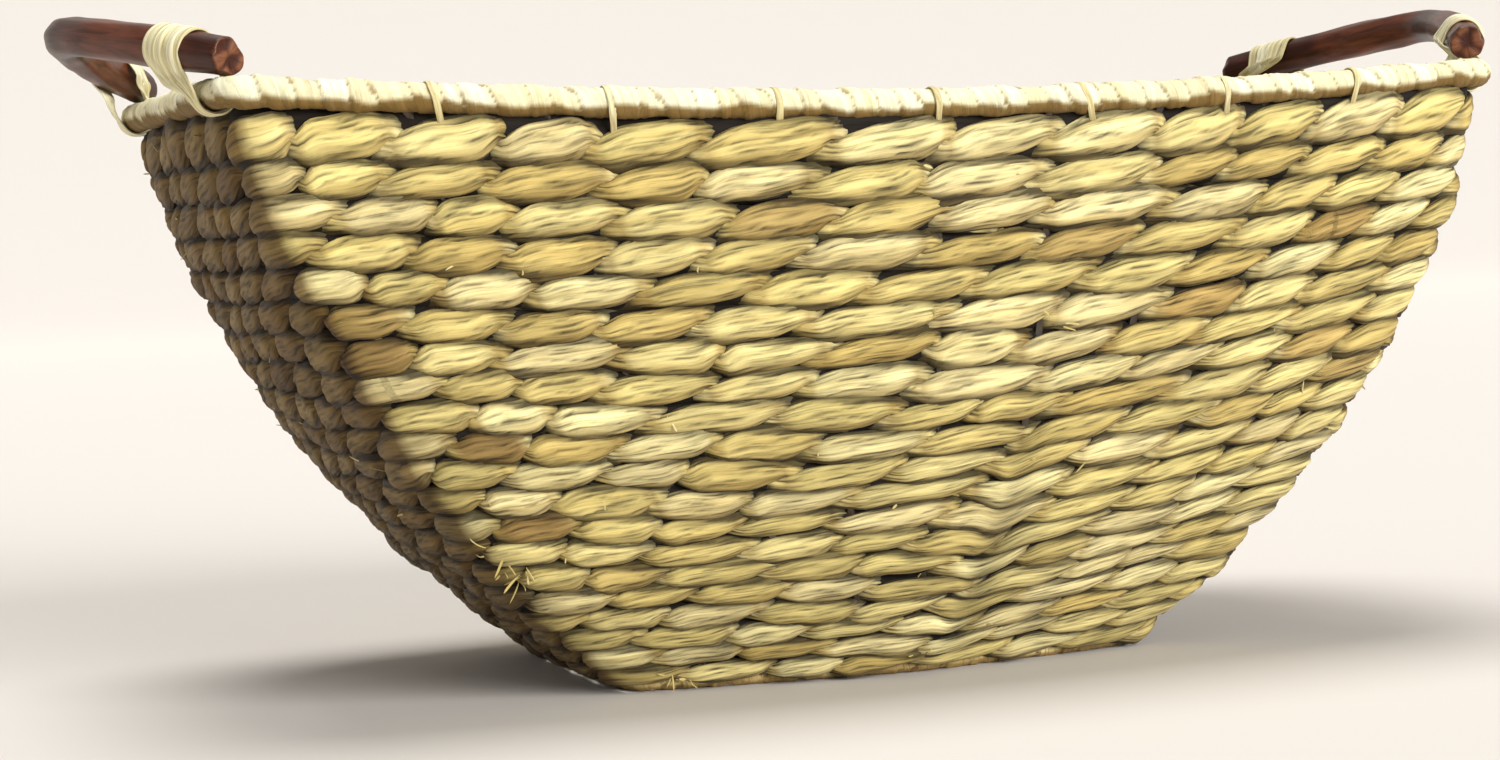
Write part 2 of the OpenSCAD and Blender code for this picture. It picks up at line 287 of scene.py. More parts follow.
def loop_lengths(ring):
    return np.linalg.norm(np.roll(ring, -1, axis=0) - ring, axis=1)


def resample(values, at, count):
    """Values of a closed ring, given at arc lengths at, on count even steps."""
    total = at[-1]
    wanted = np.arange(count) / count * total
    closed = np.concatenate([values, values[:1]])
    if closed.ndim == 1:
        return np.interp(wanted, at, closed)
    return np.stack([np.interp(wanted, at, closed[:, c]) for c in range(closed.shape[1])], -1)


# ---- twine ----------------------------------------------------------------------------
STRAW = [linear(231, 214, 146), linear(221, 203, 132), linear(239, 225, 164),
         linear(214, 194, 124), linear(227, 211, 154)]
OCHRE = [linear(212, 188, 116), linear(202, 178, 108)]
TAN = [linear(186, 160, 98), linear(176, 148, 88)]
BROWN = [linear(156, 128, 76)]
# The next three are colours of painted shade: at the strands' ends, on their lower sides, and in
# the gaps and creases between them.
TIP_SHADE = linear(146, 118, 62)
UNDERSIDE_SHADE = linear(140, 114, 60)
GAP_SHADE = linear(26, 17, 6)
# Darkening of the end walls: partly browner fibre, partly painted shade.
END_BROWN_AND_SHADE = np.array([0.29, 0.225, 0.165])
# Creases and broader pleats along a strand: count round it, angular width and reach.
CREASES, PLEATS = (21, 0.065, 24 * MM), (9, 0.22, 45 * MM)
# How far the strands stay open between the places where they cross, 0 for an even twist.
DWELL = 0.1
# Visible lengths of fibre: end walls, corners, and the middle of the long walls from the
# top course to the bottom one.
END_SPACING, CORNER_SPACING, MIDDLE_SPACING = 30 * MM, 27 * MM, (43 * MM, 32 * MM)
STATION = 2.2 * MM


def twine_colour(rng, tan_share):
    """Colour of one visible length of fibre."""
    pick = rng.random()
    if pick < 0.002 + 0.012 * tan_share:
        tone = BROWN[0]
    elif pick < 0.012 + 0.12 * tan_share:
        tone = TAN[rng.integers(len(TAN))]
    elif pick < 0.12 + 0.20 * tan_share:
        tone = OCHRE[rng.integers(len(OCHRE))]
    else:
        tone = STRAW[rng.integers(len(STRAW))]
    return tone * rng.uniform(0.97, 1.22)


def turn_angles(rng, lengths, spacing):
    """Angle of the twist along a course, half a turn for each visible length of fibre.
    spacing gives the wanted length at every station."""
    need = lengths / spacing
    count = int(round(need.sum() / 2)) * 2
    progress = np.concatenate([[0], np.cumsum(need)])[:-1] / need.sum() * count
    marks = np.arange(count + 1, dtype=float)
    marks[1:-1] += rng.uniform(-0.27, 0.27, count - 1)
    turns = np.interp(progress, marks, np.arange(count + 1))
    # The strands change places quickly and lie open for most of their length.
    return math.pi * (turns - DWELL * np.sin(TAU * turns)), count


def crease_lines(rng, t, phi, length, count, width, reach):
    """Creases that run along a strand, 0 in the open and 1 in a crease, over stations t
    and angles phi. Each fades in and out over about the given reach."""
    field = np.zeros((len(t), len(phi)))
    base = max(2, int(length / reach))
    fades = (base, int(1.6 * base) + 1, int(0.7 * base) + 1)
    sways = (base // 2 + 1, base // 3 + 1, int(0.8 * base) + 1)
    for k in range(count):
        place = TAU * (k + rng.uniform(-0.35, 0.35)) / count
        drift = 0.09 * loop_noise(rng, t, sways, 0.2)
        strength = np.clip(0.45 + 0.6 * loop_noise(rng, t, fades, 0.2), 0, 1)
        gap = (phi[None, :] - place - drift[:, None] + math.pi) % TAU - math.pi
        field = np.maximum(field, strength[:, None] * np.exp(-(gap / width) ** 2))
    return field


def turned(phi, seam):
    """Angles from -pi to pi that jump at the given seam."""
    return (phi - seam) % TAU - math.pi


def twist_strands(rng, centre, inward, down, height, depth, spacing, tan_share, tag):
    """The two strands of one course, as tubes twisted round each other. centre, inward,
    down (n, 3), height, depth and spacing (n,) describe the course at even stations.
    A strand is fattest where it lies open, and narrow where it dips under its neighbour;
    lines along it draw together there."""
    n = len(centre)
    lengths = loop_lengths(centre)
    angle, count = turn_angles(rng, lengths, spacing)
    t = np.arange(n) / n
    total = lengths.sum()
    m = int(48 * DETAIL) // 2 * 2
    phi = np.arange(m) / m * TAU
    cos_phi, sin_phi = np.cos(phi)[None, :], np.sin(phi)[None, :]
    strands = []
    for j in range(2):
        theta = angle + math.pi * j
        step = theta / math.pi
        near = np.round(step).astype(int)
        fraction = step - near
        sizes = np.clip(1 + 0.07 * rng.standard_normal(count + 2), 0.86, 1.13)
        puff = np.clip(1 + 0.15 * rng.standard_normal(count + 2), 0.8, 1.3)
        tones = np.array([twine_colour(rng, tan_share) for _ in range(count + 2)])
        skew = 0.03 * rng.standard_normal(count + 2)
        index = near % count
        nxt = (near + np.sign(fraction).astype(int)) % count
        blend = 0.5 * smooth_step(0.36, 0.5, np.abs(fraction))

        def per_length(values):
            a, b = values[index], values[nxt]
            f = blend if a.ndim == 1 else blend[:, None]
            return mix(a, b, f)
        size, fat, colour, tilt = (per_length(v) for v in (sizes, puff, tones, skew))
        face = np.cos(theta)
        open_face = face**2
        thick = mix(0.43, 0.25 + 0.06 * fat, open_face)
        wide = mix(0.34, 0.55 * size, open_face**0.5)
        crease = crease_lines(rng, t, phi, total, *CREASES)
        pleat = crease_lines(rng, t, phi, total, *PLEATS)
        ridge = 1 - 0.11 * crease - 0.11 * pleat
        wobble = 1 + 0.03 * loop_noise(rng, t, (count // 2 + 1, count + 3, 2 * count + 1))
        shape = ridge * wobble[:, None]
        flat_cos = np.sign(cos_phi) * np.abs(cos_phi) ** 0.85
        out = 0.235 * face[:, None] + thick[:, None] * flat_cos * shape
        up = 0.25 * np.sin(theta)[:, None] + (wide[:, None] * sin_phi + tilt[:, None]) * shape
        points = (centre[:, None, :] - inward[:, None, :] * (out * depth[:, None])[..., None]
                  - down[:, None, :] * (up * height[:, None])[..., None])
        # Masks of painted shade: the sunk inner side of the strand and its edges beside the
        # neighbouring courses.
        sunk = 1 - smooth_step(0.14, 0.38, np.abs(out))
        beside = smooth_step(0.31, 0.51, np.abs(up))
        # Painted shade on the strand's lower side.
        under = smooth_step(-0.1, 0.95, -sin_phi) * np.ones_like(out)
        # Painted shade at the ends of each visible length, where the strand dips under its
        # neighbour.
        tip = smooth_step(0.30, 0.55, np.abs(fraction))[:, None] * 0.6
        ones = np.ones_like(out)
        shade = mix(colour[:, None, :], TIP_SHADE[None, None, :], (tip * ones)[..., None])
        shade = mix(shade, UNDERSIDE_SHADE[None, None, :], (0.72 * under)[..., None])
        # Painted shade in the sunk inner side, beside the neighbouring courses, in the creases
        # and in the pleats.
        dark = np.clip(0.95 * sunk + 0.76 * beside + 0.78 * crease + 0.32 * pleat, 0, 1)
        shade = mix(shade, GAP_SHADE[None, None, :], 0.9 * dark[..., None])
        along = (t * total)[:, None] * ones
        around = turned(phi, math.pi)[None, :] * 5 * MM * ones
        ident = (tag + 0.37 * j + 0.11 * index)[:, None] * ones
        strands.append({"points": points, "colour": shade, "closed": True,
                        "fibre": np.stack([along, around, ident], -1)})
    return strands


def painted_shade_core(centre, inward, down, height, depth, top):
    """Dark filler of painted shade inside a course, which fills the gaps between its strands. It
    reaches from the course's lower edge to top, a share of its height above the middle."""
    m = int(16 * DETAIL) // 2 * 2
    phi = np.arange(m) / m * TAU
    ones = np.ones((len(centre), m))
    out = 0.25 * np.cos(phi)[None, :] * depth[:, None]
    low = 0.53 * height
    up = (((top + low) / 2)[:, None] * np.sin(phi)[None, :] + ((top - low) / 2)[:, None])
    points = (centre[:, None, :] - inward[:, None, :] * out[..., None]
              - down[:, None, :] * up[..., None])
    along = np.cumsum(loop_lengths(centre))[:, None] * ones
    return {"points": points, "closed": True,
            "colour": np.broadcast_to(GAP_SHADE * 0.8, points.shape),
            "fibre": np.stack([along, phi[None, :] * 4 * MM * ones, 9 * ones], -1)}


def course_frame(upper, lower, depth, stations):
    """Centre, inward and downward directions, height and depth round one course, between
    its upper and lower edges."""
    middle = (upper + lower) / 2
    tangent = unit(np.roll(middle, -2, axis=0) - np.roll(middle, 2, axis=0))
    down = unit(lower - upper)
    inward = unit(np.cross(tangent, down))
    centre = middle + inward * depth / 2
    at = np.concatenate([[0], np.cumsum(loop_lengths(centre))])
    n = int(at[-1] / stations)
    height = resample(np.linalg.norm(lower - upper, axis=1), at, n)
    centre, inward, down = (resample(v, at, n) for v in (centre, inward, down))
    return centre, unit(inward), unit(down), height, np.full(n, depth)


def raised_under_rim(ring):
    """The top course's upper edge, pulled up close under the rim."""
    x, y = np.abs(ring[:, 0]), np.abs(ring[:, 1])
    sag = RIM_SAG * (1 - np.clip(x / RIM_HALF, 0, 1) ** SAG_POWER)
    beside_lashings = smooth_step(215 * MM, 235 * MM, x)
    clear = WRAP_D / 2 + mix(0.7 * MM, 2.4 * MM, beside_lashings)
    rise = np.clip(RIM_Z - sag - clear - ring[:, 2], 0, 5 * MM)
    return ring + rise[:, None] * np.array([0.0, 0.0, 1.0])


def make_course(number):
    """One twined course of the wall."""
    rng = np.random.default_rng(100 + number)
    u0, u1 = (number - 1) / COURSES, number / COURSES
    upper = wall_at(u0)
    if number == 1:
        upper = raised_under_rim(upper)
    centre, inward, down, height, depth = course_frame(
        upper, wall_at(u1), mix(*WALL_DEPTH, u0), STATION / DETAIL)
    # Fibre lengths are longest in the middle of the long walls of the upper courses.
    middle = np.exp(-(centre[:, 0] / (0.66 * half_length(u0))) ** 4)
    on_side = smooth_step(0.80, 0.92, np.abs(centre[:, 1]) / half_width(u0))
    spacing = mix(CORNER_SPACING, mix(*MIDDLE_SPACING, u0), middle)
    spacing = mix(END_SPACING, spacing, on_side)
    tan_share = math.exp(-((number - 5.5) / 2.6) ** 2)
    start = rng.integers(len(centre))
    values = (centre, inward, down, height, depth * 1.02, spacing)
    rolled = [np.roll(v, start, axis=0) for v in values]
    strands = twist_strands(rng, *rolled, tan_share, number)
    # The end walls are darkened: partly browner fibre, partly painted shade.
    facing_end = np.abs(inward[:, 0]) / np.hypot(*inward.T[:2])
    at_end = smooth_step(0.62, 0.88, facing_end)[:, None, None]
    # Painted shade in the fold, and all of the fibre darkens towards the base.
    fold_shade_and_base_darkening = (1 - 0.22 * u0) * (1 - 0.35 * in_fold(centre[:, 0], centre[:, 1], u0))
    for strand in strands:
        strand["colour"] = mix(strand["colour"], strand["colour"] * END_BROWN_AND_SHADE,
                               np.roll(at_end, start, axis=0))
        strand["colour"] *= np.roll(fold_shade_and_base_darkening, start)[:, None, None]
    top = 0.53 * height
    if number == 1:
        # The dark filler of painted shade also fills the gap under the rim, clear of the lashings
        # at the corners.
        top = top + 4.5 * MM * smooth_step(240 * MM, 230 * MM, np.abs(centre[:, 0]))
    strands.append(painted_shade_core(centre, inward, down, height, depth, top))
    name = f"course_{number:02d}"
    piece = grid_mesh(f"twined_{name}", strands, "root", (name,))
    piece.data.materials.append(twine_material())


# ---- materials ------------------------------------------------------------------------
def new_material(name):
    material = bpy.data.materials.new(name)
    material.use_nodes = True
    tree = material.node_tree
    tree.nodes.clear()
    shader = tree.nodes.new("ShaderNodeBsdfPrincipled")
    out = tree.nodes.new("ShaderNodeOutputMaterial")
    tree.links.new(shader.outputs[0], out.inputs[0])
    return material, tree, shader


def add_node(tree, kind, inputs=None, **settings):
    node = tree.nodes.new(kind)
    for key, value in settings.items():
        setattr(node, key, value)
    for key, value in (inputs or {}).items():
        socket = node.inputs[key]
        if isinstance(value, bpy.types.NodeSocket):
            tree.links.new(value, socket)
        else:
            socket.default_value = value
    return node


def ramp(tree, factor, stops):
    node = add_node(tree, "ShaderNodeValToRGB", {"Fac": factor})
    elements = node.color_ramp.elements
    while len(elements) < len(stops):
        elements.new(0.5)
    for element, (place, colour) in zip(elements, stops):
        element.position = place
        element.color = (*colour, 1)
    return node.outputs["Color"]


def grey(v):
    return (v, v, v)


def tinted(tree, colour, tint):
    """Colour multiplied by a tint."""
    return add_node(tree, "ShaderNodeMix", {"Factor": 1.0, 6: colour, 7: tint},
                    data_type="RGBA", blend_type="MULTIPLY").outputs[2]


def strand_maps(tree, scale):
    """A strand's own tone, and its fibre coordinates times scale."""
    tone = add_node(tree, "ShaderNodeAttribute", attribute_name="tone").outputs["Color"]
    fibre = add_node(tree, "ShaderNodeAttribute", attribute_name="fibre").outputs["Vector"]
    lines = add_node(tree, "ShaderNodeVectorMath", {0: fibre, 1: scale},
                     operation="MULTIPLY").outputs[0]
    return tone, lines


def set_surface(tree, shader, colour, field, roughness, bump=None):
    """Links colour, roughness between two values by a field, and bump (strength, depth)
    from the same field."""
    tree.links.new(colour, shader.inputs["Base Color"])
    rough = add_node(tree, "ShaderNodeMapRange",
                     {"Value": field, "To Min": roughness[0], "To Max": roughness[1]})
    tree.links.new(rough.outputs[0], shader.inputs["Roughness"])
    if bump:
        relief = add_node(tree, "ShaderNodeBump",
                          {"Height": field, "Strength": bump[0], "Distance": bump[1]})
        tree.links.new(relief.outputs[0], shader.inputs["Normal"])


MATERIALS = {}


def fibre_material(name, scale, contrast, roughness, bump, sheen):
    """Dried plant fibre: streaks that run along each strand, in the strand's own tone."""
    if name in MATERIALS:
        return MATERIALS[name]
    material, tree, shader = new_material(name)
    tone, lines = strand_maps(tree, scale)
    streak = add_node(tree, "ShaderNodeTexNoise",
                      {"Vector": lines, "Scale": 1.0, "Detail": 5.0, "Roughness": 0.62,
                       "Distortion": 0.25}).outputs["Fac"]
    coarse = add_node(tree, "ShaderNodeVectorMath", {0: lines, 1: (0.5, 0.28, 1.0)},
                      operation="MULTIPLY").outputs[0]
    patch = add_node(tree, "ShaderNodeTexNoise",
                     {"Vector": coarse, "Scale": 1.0, "Detail": 3.0}).outputs["Fac"]
    low, high = 1 - contrast, 1 + 0.55 * contrast
    fine = ramp(tree, streak, [(0.33, grey(low)), (0.45, grey(0.96)), (0.68, grey(high))])
    broad = ramp(tree, patch, [(0.34, (0.84, 0.80, 0.71)), (0.55, grey(1.0)),
                               (0.72, (1.08, 1.08, 1.06))])
    colour = tinted(tree, tinted(tree, tone, fine), broad)
    set_surface(tree, shader, colour, streak, (roughness + 0.12, roughness - 0.1),
                (bump, 0.6 * MM))
    shader.inputs["Sheen Weight"].default_value = sheen
    shader.inputs["Specular IOR Level"].default_value = 0.2
    MATERIALS[name] = material
    return material


def twine_material():
    return fibre_material("twine_fibre", (42.0, 1150.0, 3.0), 0.5, 0.68, 0.9, 0.04)


def raffia_material():
    return fibre_material("raffia_strip", (45.0, 1400.0, 3.0), 0.22, 0.72, 0.5, 0.04)


def wood_material():
    """Dark red-brown stained stick under a gloss varnish."""
    if "stick_varnish" in MATERIALS:
        return MATERIALS["stick_varnish"]
    material, tree, shader = new_material("stick_varnish")
    tone, lines = strand_maps(tree, (60.0, 420.0, 1.0))
    grain = add_node(tree, "ShaderNodeTexNoise",
                     {"Vector": lines, "Scale": 1.0, "Detail": 6.0, "Roughness": 0.6,
                      "Distortion": 0.6}).outputs["Fac"]
    shade = ramp(tree, grain, [(0.3, (0.45, 0.38, 0.34)), (0.5, grey(0.95)),
                               (0.7, (1.5, 1.35, 1.25))])
    set_surface(tree, shader, tinted(tree, tone, shade), grain, (0.48, 0.36),
                (0.35, 0.5 * MM))
    shader.inputs["Specular IOR Level"].default_value = 0.2
    shader.inputs["Coat Weight"].default_value = 0.12
    shader.inputs["Coat Roughness"].default_value = 0.15
    MATERIALS["stick_varnish"] = material
    return material


def wire_material():
    """Dark annealed steel wire with a little rust bloom."""
    if "frame_wire" in MATERIALS:
        return MATERIALS["frame_wire"]
    material, tree, shader = new_material("frame_wire")
    place = add_node(tree, "ShaderNodeTexCoord").outputs["Object"]
    bloom = add_node(tree, "ShaderNodeTexNoise",
                     {"Vector": place, "Scale": 90.0, "Detail": 5.0}).outputs["Fac"]
    colour = ramp(tree, bloom, [(0.35, (0.07, 0.045, 0.03)), (0.55, (0.11, 0.095, 0.08)),
                                (0.75, (0.2, 0.19, 0.18))])
    set_surface(tree, shader, colour, bloom, (0.6, 0.35))
    shader.inputs["Metallic"].default_value = 0.6
    MATERIALS["frame_wire"] = material
    return material


# ---- rim ------------------------------------------------------------------------------
RIM_TONES = [linear(242, 237, 200), linear(235, 228, 187), linear(245, 241, 209),
             linear(232, 223, 184)]
# Colour of painted shade under the overlapping strips and in the strips' valleys, also used for
# faint random blotches.
RIM_SHADE_AND_BLOTCH = linear(134, 110, 56)
# Colour of the rim's lower side: painted shade, partly the strips' own darker colour.
RIM_UNDERSIDE_SHADE = linear(114, 84, 24)


def rim_ring():
    ring = ring_outline(RIM_HALF, RIM_CORNER_Y, RIM_R, BOW[0], BOW_POWER[0], 0,
                        RIM_Z, RIM_Z - RIM_SAG)
    return soften(ring, 2)


def tube_frame(ring, stations):
    """Even stations of a closed ring, with outward and upward directions."""
    at = np.concatenate([[0], np.cumsum(loop_lengths(ring))])
    n = int(at[-1] / stations)
    centre = resample(ring, at, n)
    tangent = unit(np.roll(centre, -1, axis=0) - np.roll(centre, 1, axis=0))
    out = unit(np.cross(tangent, np.array([0.0, 0.0, 1.0])))
    return centre, out, np.cross(out, tangent), at[-1]


def wrapped_tube(rng, ring, radius, strip, step_height, stations, slant, tones, dark, low):
    """Rod wrapped in strips that overlap, as one closed tube. The seam of the winding is
    at the bottom, where it isn't seen."""
    centre, out, up, total = tube_frame(ring, stations)
    n = len(centre)
    m = int(36 * DETAIL)
    phi = np.arange(m) / m * TAU
    psi = turned(phi, 1.5 * math.pi)
    t = np.arange(n) / n
    turns = int(round(total / strip))
    marks = np.arange(turns + 1) + np.concatenate([[0], rng.uniform(-0.3, 0.3, turns - 1), [0]])
    lay = np.interp(t * turns, marks, np.arange(turns + 1))
    wave = 0.06 * np.sin(2 * psi[None, :] + TAU * 3.3 * lay[:, None])
    winding = lay[:, None] - slant * psi[None, :] / TAU + wave
    number = np.floor(winding).astype(int)
    part = winding - number
    lift = rng.uniform(0.2, 1.4, turns)[number % turns]
    edge = smooth_step(0, 0.08, part)
    rise = step_height * lift * (1 - part) * edge
    folds = np.sin(TAU * 2.6 * part + 5 * lift) * np.sin(psi[None, :] * 1.5 + 7 * lift)
    lumps = 0.045 * loop_noise(rng, t, (31, 47, 71, 113), 0.3)
    r = radius * (0.965 + lumps[:, None]) + rise + 0.16 * MM * folds
    points = (centre[:, None, :] + out[:, None, :] * (r * np.cos(phi))[..., None]
              + up[:, None, :] * (r * np.sin(phi))[..., None])
    table = np.array([tones[rng.integers(len(tones))] * rng.uniform(0.9, 1.06)
                      for _ in range(turns)])
    colour = table[number % turns]
    # Painted shade: the lower side of the wrap darkens towards low, with a wedge of shade under
    # each strip.
    wedge = 0.35 * (part - 0.5) * rng.uniform(0.2, 1.3, turns)[number % turns]
    side = (np.sin(phi)[None, :] + wedge
            + 0.12 * loop_noise(rng, t, (13, 23, 37, 59), 0.2)[:, None])
    colour = mix(colour, low[None, None, :], (0.95 * smooth_step(-0.05, -0.5, side))[..., None])
    # Painted shade under the edge of each overlapping strip and in the valleys of its folds.
    tuck_shade = np.clip(0.75 * (1 - edge) + 0.12 * smooth_step(-0.5, -1, folds), 0, 1)
    colour = mix(colour, dark[None, None, :], tuck_shade[..., None])
    fibre = np.stack([np.broadcast_to(psi * radius, r.shape),
                      part * strip, number % turns + 0.0], -1)
    return {"points": points, "colour": colour, "fibre": fibre, "closed": True}


def make_rim():
    rng = np.random.default_rng(21)
    strand = wrapped_tube(rng, rim_ring(), WRAP_D / 2, 9.5 * MM, 0.7 * MM,
                          0.8 * MM / DETAIL, -1, RIM_TONES, RIM_SHADE_AND_BLOTCH, RIM_UNDERSIDE_SHADE)
    piece = grid_mesh("wrapped_rim", [strand], "root", ("rim_wrap",))
    piece.data.materials.append(raffia_material())


# ---- flat strips: ties and lashings ---------------------------------------------------
def strip_tube(rng, path, side, width, thick, tones, tag, closed=True):
    """A flat strip of raffia along a path. side (3,) or (n, 3) lies across the strip's
    width; the strip's face is turned outwards from the path's middle."""
    n = len(path)
    if closed:
        tangent = unit(np.roll(path, -1, axis=0) - np.roll(path, 1, axis=0))
    else:
        tangent = unit(np.gradient(path, axis=0))
    side = unit(np.broadcast_to(side, path.shape))
    face = unit(np.cross(side, tangent))
    side = np.cross(tangent, face)
    m = int(20 * DETAIL) // 2 * 2
    phi = np.arange(m) / m * TAU
    t = np.arange(n) / n
    ridge = 1 + 0.10 * np.sin(5 * phi[None, :] + 3 * loop_noise(rng, t, (1, 2, 3))[:, None])
    w = width / 2 * (1 + 0.08 * loop_noise(rng, t, (1, 2, 4)))[:, None]
    x = np.sign(np.cos(phi)) * np.abs(np.cos(phi)) ** 0.7
    y = np.sign(np.sin(phi)) * np.abs(np.sin(phi)) ** 0.8 * ridge
    if not closed:
        w = w * np.clip(np.minimum(t, 1 - t) * n / 2.5, 0.25, 1)[:, None]
    points = (path[:, None, :] + side[:, None, :] * (w * x)[..., None]
              + face[:, None, :] * (thick / 2 * y)[..., None])
    tone = tones[rng.integers(len(tones))] * rng.uniform(0.9, 1.06)
    blotch = 0.5 + 0.5 * loop_noise(rng, t, (2, 3, 5)) / 2
    colour = np.broadcast_to(tone, points.shape).copy()
    # Painted shade in the valleys between the strip's ridges, and a faint random blotchy
    # darkening along it.
    valley = np.clip(-(ridge - 1) / 0.10, 0, 1) * 0.35
    colour = mix(colour, RIM_SHADE_AND_BLOTCH, np.clip(valley + 0.08 * blotch[:, None], 0, 1)[..., None])
    along = np.cumsum(np.linalg.norm(np.gradient(path, axis=0), axis=1))
    fibre = np.stack([np.broadcast_to(along[:, None], (n, m)),
                      np.broadcast_to((x * width)[None, :], (n, m)),
                      np.full((n, m), float(tag))], -1)
    return {"points": points, "colour": colour, "fibre": fibre, "closed": closed}


def oval(cx, cy, a, b, count=48):
    t = np.arange(count) / count * TAU
    return np.stack([cx + a * np.cos(t), cy + b * np.sin(t)], -1)


def convex_loop(points, step):
    """Convex outline round flat points, resampled evenly."""
    order = sorted(map(tuple, points))

    def chain(seq):
        out = []
        for p in seq:
            while len(out) > 1 and ((out[-1][0] - out[-2][0]) * (p[1] - out[-2][1])
                                    - (out[-1][1] - out[-2][1]) * (p[0] - out[-2][0])) <= 0:
                out.pop()
            out.append(p)
        return out[:-1]
    loop = np.array(chain(order) + chain(order[::-1]))
    at = np.concatenate([[0], np.cumsum(loop_lengths(loop))])
    return resample(loop, at, max(24, int(at[-1] / step)))


LASH_TONES = [linear(252, 247, 214), linear(247, 240, 198), linear(240, 230, 182)]
LASH_TURNS = 6
TIE_TONES = [linear(232, 223, 180), linear(222, 210, 160)]
TIE_WIDTH = 2.4 * MM


def make_ties():
    """Small loops that hold the top course up to the rim."""
    rng = np.random.default_rng(31)
    strands = []
    for side in (-1, 1):
        for k in range(1, TIE_COUNT + 1):
            s = 2 * k / (TIE_COUNT + 1) - 1
            top = np.array([s * (RIM_HALF - RIM_R),
                            side * (RIM_CORNER_Y + BOW[0] * (1 - s * s)),
                            RIM_Z - RIM_SAG * (1 - abs(s) ** SAG_POWER)])
            foot_y = side * (half_width(0) + BOW[0] * (1 - s * s)) - side * WALL_DEPTH[0] / 2
            foot_z = mix(middle_height(0), corner_height(0), abs(s) ** SAG_POWER) - 2 * MM
            ring = np.concatenate([
                oval(top[1], top[2], WRAP_D / 2 + 0.4 * MM, WRAP_D / 2 + 0.4 * MM),
                oval(foot_y, foot_z, 3.4 * MM, 1.5 * MM)])
            loop = convex_loop(ring, 1.2 * MM)
            lean = rng.uniform(-4, 4) * MM
            fall = np.clip((top[2] - loop[:, 1]) / (top[2] - foot_z), -0.3, 1)
            path = np.stack([top[0] + lean * fall, loop[:, 0], loop[:, 1]], -1)
            strand = strip_tube(rng, path, (1, 0, 0), TIE_WIDTH, 0.6 * MM, TIE_TONES, float(k))
            # Painted shade on the lower part of each tie, in the shaded band under the rim.
            tie_shade = 0.5 * smooth_step(0.1, 0.8, fall)[:, None, None]
            strand["colour"] = mix(strand["colour"], RIM_SHADE_AND_BLOTCH, tie_shade)
            strands.append(strand)
    piece = grid_mesh("raffia_rim_ties", strands, "root", ("rim_ties",))
    piece.data.materials.append(raffia_material())


# ---- handles --------------------------------------------------------------------------
def on_rim(points, side):
    """Points of a handle's own plane, put on the rim at the right end (side 1) or left."""
    c, s = math.cos(HANDLE_TILT), math.sin(HANDLE_TILT)
    x = points[..., 0] * c - points[..., 2] * s + RIM_HALF
    z = points[..., 0] * s + points[..., 2] * c + RIM_Z
    return np.stack([side * x, side * points[..., 1], z], -1)


def stick_x(y):
    return STICK_BOW * (1 - np.abs(y / (STICK_SPAN / 2)) ** STICK_POWER)


def stick_slope(y):
    half = STICK_SPAN / 2
    return STICK_BOW * STICK_POWER / half * (np.abs(y) / half) ** (STICK_POWER - 1)


def stick_path(step):
    """Middle of the bent stick in its own plane, from one cut end to the other, with the
    angle of its bow eased."""
    y = np.linspace(-STICK_SPAN / 2, STICK_SPAN / 2, 401)
    x = stick_x(y)
    near = np.abs(y) < 60 * MM
    eased = np.convolve(x, np.ones(41) / 41, "same")
    fade = smooth_step(60 * MM, 35 * MM, np.abs(y))
    x = np.where(near, mix(x, eased, fade), x)
    flat = np.stack([x, y], -1)
    at = np.concatenate([[0], np.cumsum(np.linalg.norm(np.diff(flat, axis=0), axis=1))])
    wanted = np.linspace(0, at[-1], int(at[-1] / step))
    return np.stack([np.interp(wanted, at, flat[:, 0]), np.interp(wanted, at, flat[:, 1]),
                     np.full(len(wanted), STICK_OFFSET)], -1), at[-1]


WOOD_TONES = (linear(98, 52, 33), linear(62, 30, 19), linear(124, 78, 52))


def cut_face(rng, rim, outward, phi):
    """Rings that close a cut end, from its middle out, as a face left rough by the saw."""
    middle = rim.mean(0)
    waves = [(rng.uniform(0.5, 1.3, 2) * rng.choice([-1, 1], 2), rng.uniform(0, TAU))
             for _ in range(6)]
    points, colours = [], []
    for share in (0.02, 0.15, 0.3, 0.45, 0.6, 0.75, 0.88, 0.96):
        x, y = share * np.cos(phi) * 2.4, share * np.sin(phi) * 2.4
        field = sum(np.sin(w[0] * x * 1.6 + w[1] * y * 1.6 + start) for w, start in waves) / 3
        rough = 0.22 * field * MM
        points.append(middle + (rim - middle) * share + outward * rough[:, None])
        tone = mix(WOOD_TONES[1] * 1.1, WOOD_TONES[2], smooth_step(-0.5, 0.6, field)[:, None])
        colours.append(tone)
    return np.array(points), np.array(colours)


